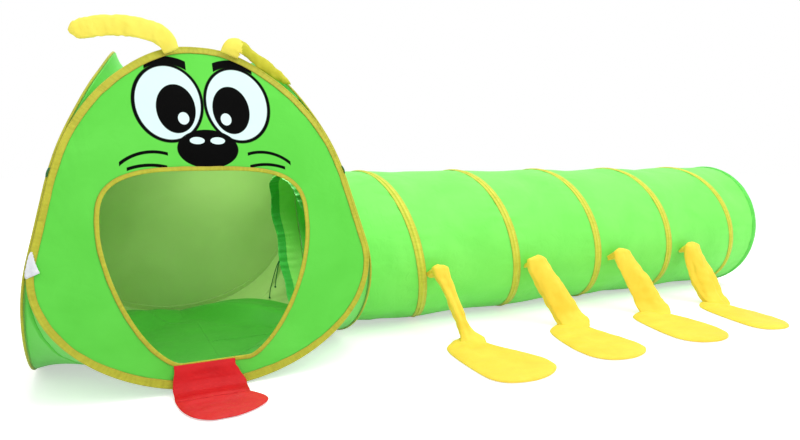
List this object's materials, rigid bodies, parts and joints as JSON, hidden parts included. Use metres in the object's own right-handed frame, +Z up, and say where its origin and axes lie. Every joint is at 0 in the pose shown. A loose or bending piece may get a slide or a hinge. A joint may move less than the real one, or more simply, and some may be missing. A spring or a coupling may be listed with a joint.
{
  "type": "pop-up play tent with crawl tunnel",
  "caption": "Low pop-up play tent: a domed square head whose mouth is the door, joined to a wire-coil crawl tunnel with jointed cloth legs on both sides.",
  "frame": {"origin": "middle of the head's floor, on its underside", "axes": "-Y is the way the face looks, +X runs along the tunnel away from the head, +Z up"},
  "size_m": [2.3726, 1.2546, 0.805],
  "materials": {
    "green_cloth": "thin woven polyester, slight sheen",
    "dark_green_cloth": "thin woven polyester",
    "yellow_binding": "folded binding tape",
    "green_binding": "folded binding tape",
    "yellow_cloth": "thin stuffed polyester",
    "red_cloth": "thin padded polyester",
    "white_tag": "satin ribbon",
    "spring_steel": "bare spring wire",
    "dark_green_cord": "braided cord"
  },
  "bodies": {
    "right_side": {"right_panel": "green_cloth", "right_hoop_wire": "spring_steel", "right_hoop_tape": "yellow_binding", "roof_panel": "green_cloth", "floor_panel": "green_cloth", "tunnel_collar": "dark_green_cloth", "collar_drawcord": "dark_green_cord", "tunnel_near_hem": "green_binding", "tunnel_skin": "green_cloth", "tunnel_coil_wire": "spring_steel", "tunnel_coil_tape": "yellow_binding"},
    "front_side": {"front_panel": "green_cloth", "front_hoop_wire": "spring_steel", "front_hoop_tape": "yellow_binding", "mouth_tape": "yellow_binding", "care_tag": "white_tag", "front_left_tie": "dark_green_cloth", "front_right_tie": "dark_green_cloth"},
    "left_side": {"left_panel": "green_cloth", "left_hoop_wire": "spring_steel", "left_hoop_tape": "yellow_binding"},
    "back_side": {"back_panel": "green_cloth", "back_hoop_wire": "spring_steel", "back_hoop_tape": "yellow_binding"},
    "upper_tongue": {"tongue_upper": "red_cloth"},
    "tip_of_tongue": {"tongue_tip": "red_cloth"},
    "left_feeler": {"left_antenna": "yellow_cloth"},
    "right_feeler": {"right_antenna": "yellow_cloth"},
    "tunnel_end": {"tunnel_end_hem": "green_binding"},
    "near_stub_body_1": {"near_leg_1_stub": "yellow_cloth"},
    "near_leg_body_1": {"near_leg_1": "yellow_cloth"},
    "near_foot_body_1": {"near_foot_1": "yellow_cloth"},
    "near_stub_body_2": {"near_leg_2_stub": "yellow_cloth"},
    "near_leg_body_2": {"near_leg_2": "yellow_cloth"},
    "near_foot_body_2": {"near_foot_2": "yellow_cloth"},
    "near_stub_body_3": {"near_leg_3_stub": "yellow_cloth"},
    "near_leg_body_3": {"near_leg_3": "yellow_cloth"},
    "near_foot_body_3": {"near_foot_3": "yellow_cloth"},
    "near_stub_body_4": {"near_leg_4_stub": "yellow_cloth"},
    "near_leg_body_4": {"near_leg_4": "yellow_cloth"},
    "near_foot_body_4": {"near_foot_4": "yellow_cloth"},
    "far_stub_body_1": {"far_leg_1_stub": "yellow_cloth"},
    "far_leg_body_1": {"far_leg_1": "yellow_cloth"},
    "far_foot_body_1": {"far_foot_1": "yellow_cloth"},
    "far_stub_body_2": {"far_leg_2_stub": "yellow_cloth"},
    "far_leg_body_2": {"far_leg_2": "yellow_cloth"},
    "far_foot_body_2": {"far_foot_2": "yellow_cloth"},
    "far_stub_body_3": {"far_leg_3_stub": "yellow_cloth"},
    "far_leg_body_3": {"far_leg_3": "yellow_cloth"},
    "far_foot_body_3": {"far_foot_3": "yellow_cloth"},
    "far_stub_body_4": {"far_leg_4_stub": "yellow_cloth"},
    "far_leg_body_4": {"far_leg_4": "yellow_cloth"},
    "far_foot_body_4": {"far_foot_4": "yellow_cloth"}
  },
  "joints": [
    {"name": "head_fold", "type": "hinge", "parent": "right_side", "child": "front_side", "pos_m": [0.32403, -0.3277, 0.4], "axis": [0.2298, -0.2298, -0.9457], "range_deg": [0, 22], "stiffness_Nm_per_rad": 0.8, "deforming": ["roof_panel", "floor_panel", "tunnel_collar", "collar_drawcord"]},
    {"name": "left_side_fold", "type": "hinge", "parent": "front_side", "child": "left_side", "pos_m": [-0.3277, -0.32403, 0.4], "axis": [0.2298, 0.2298, 0.9457], "range_deg": [0, 22.31]},
    {"name": "back_side_fold", "type": "hinge", "parent": "right_side", "child": "back_side", "pos_m": [0.32403, 0.3277, 0.4], "axis": [0.2298, 0.2298, -0.9457], "range_deg": [0, 22.31]},
    {"name": "tunnel_collapse", "type": "slide", "parent": "right_side", "child": "tunnel_end", "axis": [-1, 0, 0], "range_m": [0, 0.49], "stiffness_N_per_m": 12, "deforming": ["tunnel_skin", "tunnel_coil_wire", "tunnel_coil_tape"]},
    {"name": "near_leg_1_travel", "type": "slide", "parent": "right_side", "child": "near_stub_body_1", "axis": [-1, 0, 0], "range_m": [0, 0.0691]},
    {"name": "near_leg_1_swing", "type": "hinge", "parent": "near_stub_body_1", "child": "near_leg_body_1", "pos_m": [0.614, -0.25369, 0.1894], "axis": [-1, 0, 0], "range_deg": [-5, 70]},
    {"name": "near_foot_1_bend", "type": "hinge", "parent": "near_leg_body_1", "child": "near_foot_body_1", "pos_m": [0.659, -0.32569, 0.0173], "axis": [-1, 0, 0], "range_deg": [-40, 60]},
    {"name": "near_leg_2_travel", "type": "slide", "parent": "right_side", "child": "near_stub_body_2", "axis": [-1, 0, 0], "range_m": [0, 0.1707]},
    {"name": "near_leg_2_swing", "type": "hinge", "parent": "near_stub_body_2", "child": "near_leg_body_2", "pos_m": [0.95, -0.25369, 0.1894], "axis": [-1, 0, 0], "range_deg": [-5, 70]},
    {"name": "near_foot_2_bend", "type": "hinge", "parent": "near_leg_body_2", "child": "near_foot_body_2", "pos_m": [1.018, -0.32569, 0.0173], "axis": [-1, 0, 0], "range_deg": [-40, 60]},
    {"name": "near_leg_3_travel", "type": "slide", "parent": "right_side", "child": "near_stub_body_3", "axis": [-1, 0, 0], "range_m": [0, 0.2723]},
    {"name": "near_leg_3_swing", "type": "hinge", "parent": "near_stub_body_3", "child": "near_leg_body_3", "pos_m": [1.286, -0.25369, 0.1894], "axis": [-1, 0, 0], "range_deg": [-5, 70]},
    {"name": "near_foot_3_bend", "type": "hinge", "parent": "near_leg_body_3", "child": "near_foot_body_3", "pos_m": [1.358, -0.32569, 0.0173], "axis": [-1, 0, 0], "range_deg": [-40, 60]},
    {"name": "near_leg_4_travel", "type": "slide", "parent": "right_side", "child": "near_stub_body_4", "axis": [-1, 0, 0], "range_m": [0, 0.3739]},
    {"name": "near_leg_4_swing", "type": "hinge", "parent": "near_stub_body_4", "child": "near_leg_body_4", "pos_m": [1.622, -0.25369, 0.1894], "axis": [-1, 0, 0], "range_deg": [-5, 70]},
    {"name": "near_foot_4_bend", "type": "hinge", "parent": "near_leg_body_4", "child": "near_foot_body_4", "pos_m": [1.642, -0.32569, 0.0173], "axis": [-1, 0, 0], "range_deg": [-40, 60]},
    {"name": "far_leg_1_travel", "type": "slide", "parent": "right_side", "child": "far_stub_body_1", "axis": [-1, 0, 0], "range_m": [0, 0.0691]},
    {"name": "far_leg_1_swing", "type": "hinge", "parent": "far_stub_body_1", "child": "far_leg_body_1", "pos_m": [0.614, 0.25369, 0.1894], "axis": [1, 0, 0], "range_deg": [-5, 70]},
    {"name": "far_foot_1_bend", "type": "hinge", "parent": "far_leg_body_1", "child": "far_foot_body_1", "pos_m": [0.659, 0.32569, 0.0173], "axis": [1, 0, 0], "range_deg": [-40, 60]},
    {"name": "far_leg_2_travel", "type": "slide", "parent": "right_side", "child": "far_stub_body_2", "axis": [-1, 0, 0], "range_m": [0, 0.1707]},
    {"name": "far_leg_2_swing", "type": "hinge", "parent": "far_stub_body_2", "child": "far_leg_body_2", "pos_m": [0.95, 0.25369, 0.1894], "axis": [1, 0, 0], "range_deg": [-5, 70]},
    {"name": "far_foot_2_bend", "type": "hinge", "parent": "far_leg_body_2", "child": "far_foot_body_2", "pos_m": [1.018, 0.32569, 0.0173], "axis": [1, 0, 0], "range_deg": [-40, 60]},
    {"name": "far_leg_3_travel", "type": "slide", "parent": "right_side", "child": "far_stub_body_3", "axis": [-1, 0, 0], "range_m": [0, 0.2723]},
    {"name": "far_leg_3_swing", "type": "hinge", "parent": "far_stub_body_3", "child": "far_leg_body_3", "pos_m": [1.286, 0.25369, 0.1894], "axis": [1, 0, 0], "range_deg": [-5, 70]},
    {"name": "far_foot_3_bend", "type": "hinge", "parent": "far_leg_body_3", "child": "far_foot_body_3", "pos_m": [1.358, 0.32569, 0.0173], "axis": [1, 0, 0], "range_deg": [-40, 60]},
    {"name": "far_leg_4_travel", "type": "slide", "parent": "right_side", "child": "far_stub_body_4", "axis": [-1, 0, 0], "range_m": [0, 0.3739]},
    {"name": "far_leg_4_swing", "type": "hinge", "parent": "far_stub_body_4", "child": "far_leg_body_4", "pos_m": [1.622, 0.25369, 0.1894], "axis": [1, 0, 0], "range_deg": [-5, 70]},
    {"name": "far_foot_4_bend", "type": "hinge", "parent": "far_leg_body_4", "child": "far_foot_body_4", "pos_m": [1.642, 0.32569, 0.0173], "axis": [1, 0, 0], "range_deg": [-40, 60]},
    {"name": "tongue_swing", "type": "hinge", "parent": "front_side", "child": "upper_tongue", "pos_m": [0, -0.3724, 0.062], "axis": [-1, 0, 0], "range_deg": [0, 100]},
    {"name": "tongue_tip_fold", "type": "hinge", "parent": "upper_tongue", "child": "tip_of_tongue", "pos_m": [-0.026, -0.426, 0.0025], "axis": [-1, 0, 0], "range_deg": [0, 95]},
    {"name": "left_antenna_bend", "type": "hinge", "parent": "front_side", "child": "left_feeler", "pos_m": [-0.058, -0.19165, 0.73798], "axis": [0, 1, 0], "range_deg": [0, 60]},
    {"name": "right_antenna_bend", "type": "hinge", "parent": "front_side", "child": "right_feeler", "pos_m": [0.072, -0.19165, 0.73798], "axis": [0, -1, 0], "range_deg": [0, 60]}
  ],
  "couplings": [
    {"joint": "left_side_fold", "follows": "head_fold", "ratio": 1.005},
    {"joint": "back_side_fold", "follows": "head_fold", "ratio": 1.005},
    {"joint": "near_leg_1_travel", "follows": "tunnel_collapse", "ratio": 0.13889},
    {"joint": "near_leg_2_travel", "follows": "tunnel_collapse", "ratio": 0.3463},
    {"joint": "near_leg_3_travel", "follows": "tunnel_collapse", "ratio": 0.5537},
    {"joint": "near_leg_4_travel", "follows": "tunnel_collapse", "ratio": 0.76111},
    {"joint": "far_leg_1_travel", "follows": "tunnel_collapse", "ratio": 0.13889},
    {"joint": "far_leg_2_travel", "follows": "tunnel_collapse", "ratio": 0.3463},
    {"joint": "far_leg_3_travel", "follows": "tunnel_collapse", "ratio": 0.5537},
    {"joint": "far_leg_4_travel", "follows": "tunnel_collapse", "ratio": 0.76111}
  ]
}
